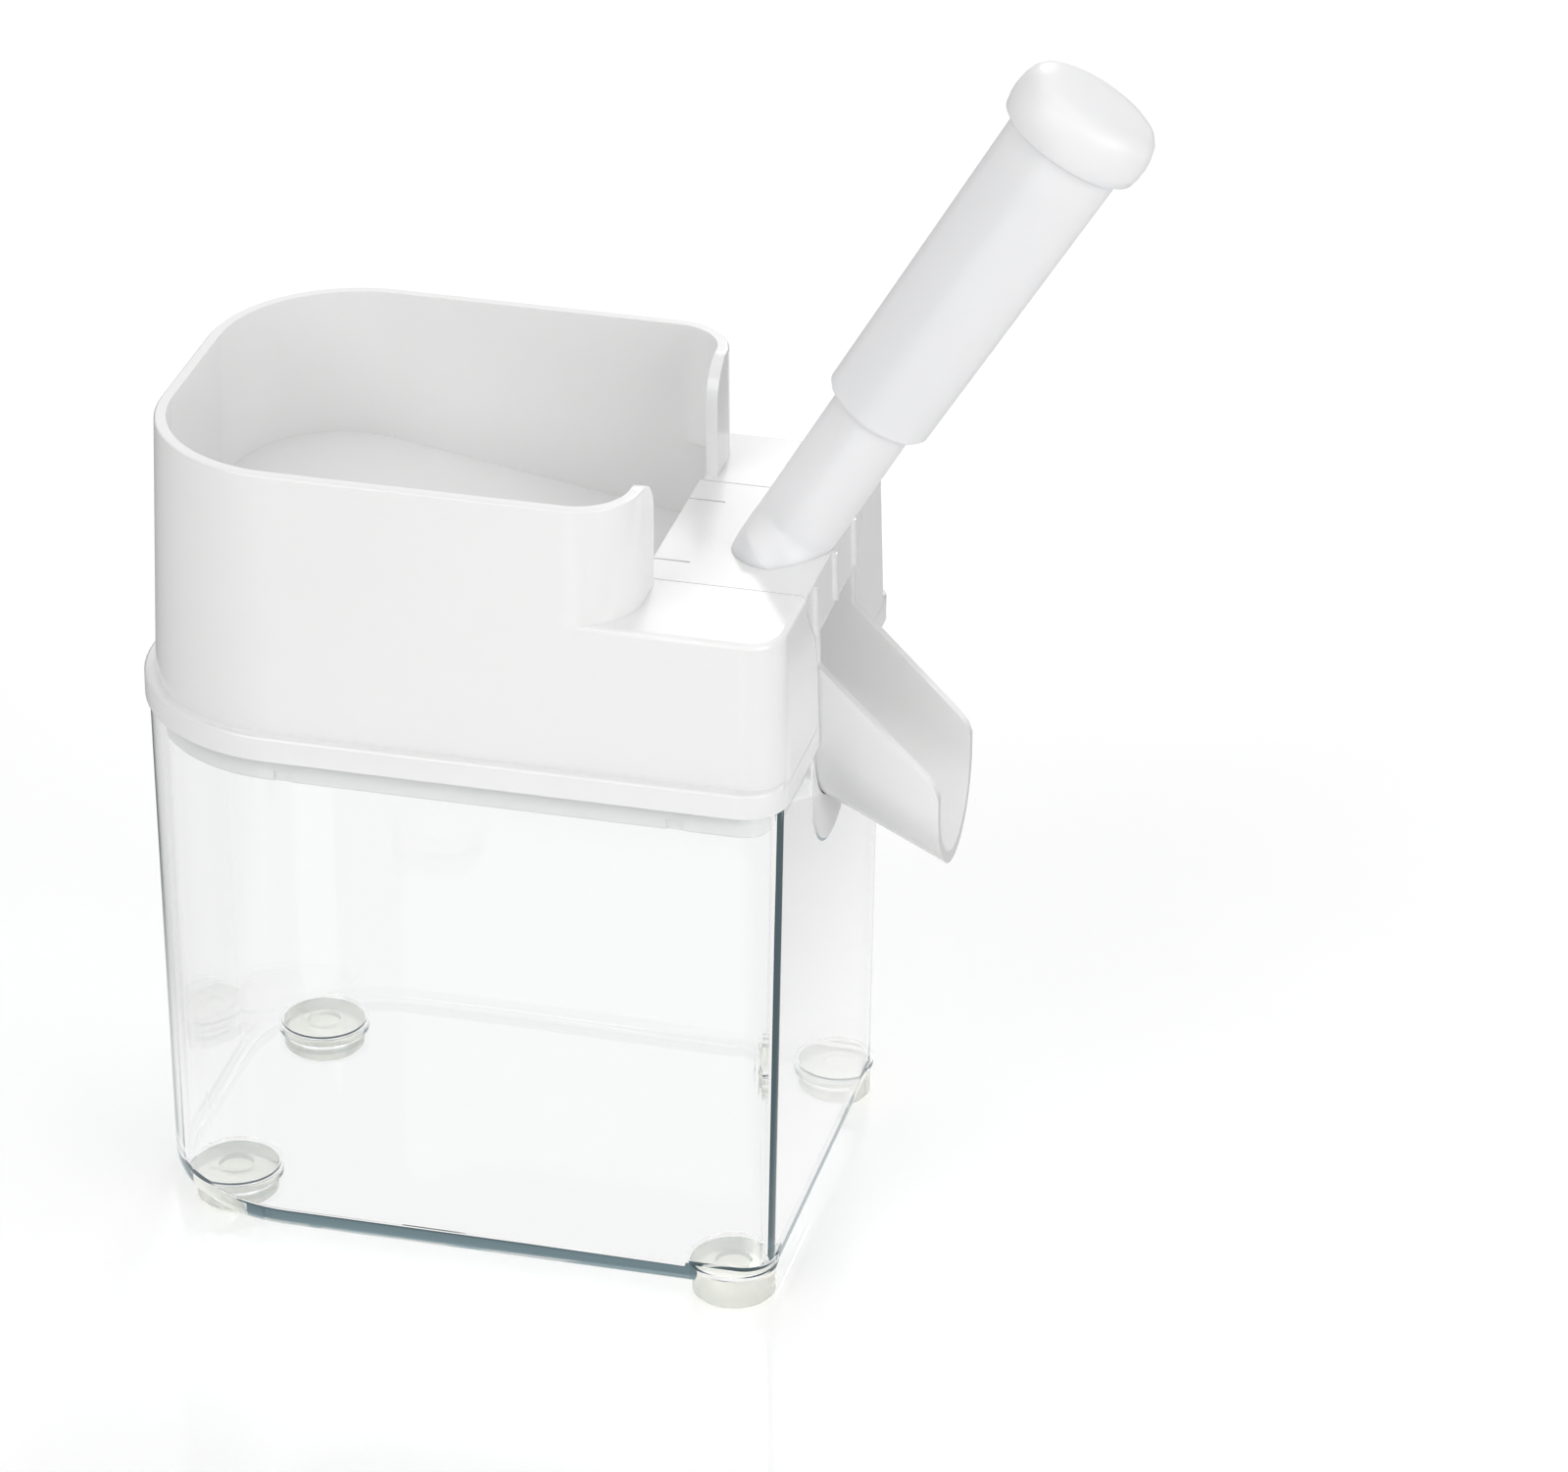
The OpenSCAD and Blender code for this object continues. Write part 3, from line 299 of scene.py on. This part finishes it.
def material_for(slot, settings):
    """The finish of a record slot, made once."""
    makers = {
        "white_gloss": ("Polished moulded ABS", lambda: glossy_abs(settings.gloss_white, settings.grain)),
        "white_satin": ("Satin moulded polypropylene",
                        lambda: satin_polymer(settings.satin_white, settings.grain)),
        "clear_plastic": ("Clear moulded SAN", lambda: clear_san(settings.clear_glow_tint)),
        "silicone": ("Milky silicone rubber", lambda: milky_silicone(settings.soft_tint)),
        "steel": ("Brushed stainless steel", lambda: brushed_stainless(settings.steel_tint)),
    }
    name, make = makers[slot]
    return bpy.data.materials.get(name) or make()


# ---- operators ------------------------------------------------------------------------------

class PITTER_OT_container(bpy.types.Operator):
    """Clear container with rounded edges and its soft feet"""
    bl_idname = "pitter.container"
    bl_label = "Container and feet"

    def execute(self, context):
        settings = context.scene.pitter
        refined("container", material_for("clear_plastic", settings), "container_body", 0)
        for node in ("foot_front_left", "foot_front_right", "foot_rear_left", "foot_rear_right"):
            dress(node, material_for("silicone", settings))
        return {"FINISHED"}


class PITTER_OT_housing(bpy.types.Operator):
    """Hopper housing and the frame under it"""
    bl_idname = "pitter.housing"
    bl_label = "Housing"

    def execute(self, context):
        settings = context.scene.pitter
        white = material_for("white_gloss", settings)
        refined("housing", white, "housing_body", settings.edge_round)
        refined("inner_frame", white, "housing_body", 0)
        return {"FINISHED"}


class PITTER_OT_cherry_seat(bpy.types.Operator):
    """Cup, gasket and ring that hold a cherry under the plunger"""
    bl_idname = "pitter.cherry_seat"
    bl_label = "Cherry seat"

    def execute(self, context):
        settings = context.scene.pitter
        dress("cherry_cup", material_for("white_satin", settings))
        dress("gasket_ring", material_for("white_satin", settings))
        dress("cup_gasket", material_for("silicone", settings))
        return {"FINISHED"}


class PITTER_OT_pitting_head(bpy.types.Operator):
    """Deck insert with its chute, and what is fixed in it"""
    bl_idname = "pitter.pitting_head"
    bl_label = "Pitting head"

    def execute(self, context):
        settings = context.scene.pitter
        refined("pitting_head", material_for("white_gloss", settings), "head_body",
                settings.edge_round)
        refined("guide_neck", material_for("white_satin", settings), "head_body", 0)
        dress("guide_bush", material_for("white_satin", settings))
        dress("stripper_plate", material_for("steel", settings))
        dress("neck_screws", material_for("steel", settings))
        return {"FINISHED"}


class PITTER_OT_plunger(bpy.types.Operator):
    """Grip, palm cap and the steel that moves with them"""
    bl_idname = "pitter.plunger"
    bl_label = "Plunger"

    def execute(self, context):
        settings = context.scene.pitter
        satin = material_for("white_satin", settings)
        refined("grip_sleeve", satin, "plunger", 0, 40.0)
        refined("palm_cap", satin, "plunger", 0, 60.0)
        steel = material_for("steel", settings)
        for node in ("plunger_rod", "pitting_crown", "cap_screw", "spring_washer"):
            dress(node, steel)
        sprung("return_spring", steel, "head_body")
        return {"FINISHED"}


class PITTER_OT_stage(bpy.types.Operator):
    """White floor, white surroundings and soft lamps"""
    bl_idname = "pitter.stage"
    bl_label = "Stage and lamps"

    def execute(self, context):
        scene = context.scene
        mesh = bpy.data.meshes.new("studio_floor")
        shape = bmesh.new()
        bmesh.ops.create_circle(shape, cap_ends=True, radius=4.0, segments=96)
        shape.to_mesh(mesh)
        shape.free()
        floor = bpy.data.objects.new("studio_floor", mesh)
        floor.location = (0.0, 0.0, -FLOOR_GAP)
        scene.collection.objects.link(floor)
        mesh.materials.append(self.floor_material())
        self.surroundings(scene)
        # place and size in metres, strength in watts
        self.lamp("front_softbox", (-0.7, -1.2, 1.0), (0.0, 0.0, 0.12), 1.0, 7.4)
        self.lamp("right_softbox", (1.3, -0.8, 0.6), (0.03, 0.0, 0.12), 0.9, 9.0)
        self.lamp("top_softbox", (0.1, 0.1, 1.5), (0.0, 0.0, 0.1), 1.0, 2.4)
        self.lamp("rear_lamp", (-0.1, 1.0, 0.77), (0.0, 0.0, 0.13), 0.16, 2.9)
        scene.view_settings.view_transform = "Standard"
        return {"FINISHED"}

    def floor_material(self):
        """Glossy white acrylic sheet. Reflections see it grey beyond the object's sides."""
        material, tree = new_material("White acrylic sheet")
        place = add(tree, "ShaderNodeTexCoord").outputs["Object"]
        across = add(tree, "ShaderNodeSeparateXYZ", {}, {"Vector": place}).outputs["X"]

        def sheet_level(middle, half, fade, edge_level):
            """White within half of the middle, falling to edge_level over the fade; metres."""
            away = add(tree, "ShaderNodeMath", {"operation": "SUBTRACT", 1: middle}, {0: across})
            away = add(tree, "ShaderNodeMath", {"operation": "ABSOLUTE"}, {0: away.outputs["Value"]})
            level = add(tree, "ShaderNodeMapRange",
                        {"interpolation_type": "SMOOTHSTEP", "From Min": half, "From Max": half + fade,
                         "To Min": 1.0, "To Max": edge_level}, {"Value": away.outputs["Value"]})
            return add(tree, "ShaderNodeEmission", {"Color": (1.0, 1.0, 1.0, 1.0)},
                       {"Strength": level.outputs["Result"]}).outputs["Emission"]

        path = add(tree, "ShaderNodeLightPath")
        sheet = add(tree, "ShaderNodeBsdfPrincipled",
                    {"Base Color": (0.93, 0.93, 0.93, 1.0), "Roughness": 0.08, "IOR": 1.5})
        glow = add(tree, "ShaderNodeEmission", {"Color": (1.0, 1.0, 1.0, 1.0), "Strength": 0.08})
        seen = add(tree, "ShaderNodeAddShader", {}, {0: sheet.outputs["BSDF"], 1: glow.outputs["Emission"]})
        lit = add(tree, "ShaderNodeMixShader", {},
                  {"Fac": path.outputs["Is Camera Ray"], 1: sheet.outputs["BSDF"], 2: seen.outputs["Shader"]})
        shown = add(tree, "ShaderNodeMixShader", {},
                    {"Fac": path.outputs["Is Glossy Ray"], 1: lit.outputs["Shader"],
                     2: sheet_level(-0.04, 0.08, 0.06, 0.22)})
        # a ray that clear plastic bends is glossy too, so what such rays see is mixed in last
        mixed = add(tree, "ShaderNodeMixShader", {},
                    {"Fac": path.outputs["Is Transmission Ray"], 1: shown.outputs["Shader"],
                     2: sheet_level(0.02, 0.19, 0.4, 0.86)})
        add(tree, "ShaderNodeOutputMaterial", {}, {"Surface": mixed.outputs["Shader"]})
        return material

    def surroundings(self, scene):
        world = bpy.data.worlds.new("White studio")
        world.use_nodes = True
        tree = world.node_tree
        tree.nodes.clear()
        # grey cards stand to the left and right: clear plastic bends them into its edges
        direction = add(tree, "ShaderNodeTexCoord").outputs["Generated"]
        parts = add(tree, "ShaderNodeSeparateXYZ", {}, {"Vector": direction})
        sideways = add(tree, "ShaderNodeMath", {"operation": "ABSOLUTE"}, {0: parts.outputs["X"]})
        cards = add(tree, "ShaderNodeMapRange", {"interpolation_type": "SMOOTHSTEP", "From Min": 0.45,
                                                 "From Max": 0.75, "To Min": 1.0, "To Max": 0.22},
                    {"Value": sideways.outputs["Value"]})
        path = add(tree, "ShaderNodeLightPath")
        bent = add(tree, "ShaderNodeMath", {"operation": "MAXIMUM"},
                   {0: path.outputs["Is Glossy Ray"], 1: path.outputs["Is Transmission Ray"]})
        ambient = add(tree, "ShaderNodeMix", {"data_type": "FLOAT", 2: 0.58},
                      {"Factor": bent.outputs["Value"], 3: cards.outputs["Result"]})
        level = add(tree, "ShaderNodeMath", {"operation": "MAXIMUM"},
                    {0: ambient.outputs[0], 1: path.outputs["Is Camera Ray"]})
        sky = add(tree, "ShaderNodeBackground", {"Color": (1.0, 1.0, 1.0, 1.0)},
                  {"Strength": level.outputs["Value"]})
        add(tree, "ShaderNodeOutputWorld", {}, {"Surface": sky.outputs["Background"]})
        scene.world = world

    def lamp(self, name, place, aim, size, watts):
        data = bpy.data.lights.new(name, "AREA")
        data.shape = "SQUARE"
        data.size = size
        data.energy = watts
        lamp = bpy.data.objects.new(name, data)
        lamp.location = place
        lamp.rotation_euler = (Vector(aim) - Vector(place)).to_track_quat("-Z", "Y").to_euler()
        bpy.context.scene.collection.objects.link(lamp)


class PITTER_OT_camera(bpy.types.Operator):
    """Camera at the photograph's place"""
    bl_idname = "pitter.camera"
    bl_label = "Camera"

    def execute(self, context):
        back = Vector((math.sin(VIEW_YAW) * math.cos(VIEW_ELEVATION),
                       -math.cos(VIEW_YAW) * math.cos(VIEW_ELEVATION), math.sin(VIEW_ELEVATION)))
        level = Vector((math.cos(VIEW_YAW), math.sin(VIEW_YAW), 0.0))
        upright = back.cross(level)
        right = level * math.cos(VIEW_ROLL) + upright * math.sin(VIEW_ROLL)
        up = upright * math.cos(VIEW_ROLL) - level * math.sin(VIEW_ROLL)
        place = VIEW_TARGET + back * VIEW_DISTANCE
        data = bpy.data.cameras.new("photo_camera")
        data.sensor_fit = "HORIZONTAL"
        data.sensor_width = SENSOR_MM
        data.lens = FOCAL_PX / PHOTO_WIDTH_PX * SENSOR_MM
        data.clip_start = 0.05
        data.clip_end = 30.0
        camera = bpy.data.objects.new("photo_camera", data)
        camera.matrix_world = Matrix((
            (right.x, up.x, back.x, place.x),
            (right.y, up.y, back.y, place.y),
            (right.z, up.z, back.z, place.z),
            (0.0, 0.0, 0.0, 1.0)))
        context.scene.collection.objects.link(camera)
        context.scene.camera = camera
        return {"FINISHED"}


class PITTER_PT_panel(bpy.types.Panel):
    """Lists the pitter's settings and pieces"""
    bl_idname = "PITTER_PT_panel"
    bl_label = "Cherry pitter"
    bl_space_type = "VIEW_3D"
    bl_region_type = "UI"
    bl_category = "Pitter"

    def draw(self, context):
        for name in PitterSettings.__annotations__:
            self.layout.prop(context.scene.pitter, name)
        for operator in STEPS:
            self.layout.operator(operator.bl_idname)


STEPS = (PITTER_OT_camera, PITTER_OT_container, PITTER_OT_housing, PITTER_OT_cherry_seat,
         PITTER_OT_pitting_head, PITTER_OT_plunger, PITTER_OT_stage)
CLASSES = (PitterSettings, *STEPS, PITTER_PT_panel)


def register():
    for cls in CLASSES:
        bpy.utils.register_class(cls)
    bpy.types.Scene.pitter = bpy.props.PointerProperty(type=PitterSettings)


def unregister():
    del bpy.types.Scene.pitter
    for cls in reversed(CLASSES):
        bpy.utils.unregister_class(cls)


def main():
    register()
    for step in STEPS:
        group, name = step.bl_idname.split(".")
        getattr(getattr(bpy.ops, group), name)()


if __name__ == "__main__":
    main()
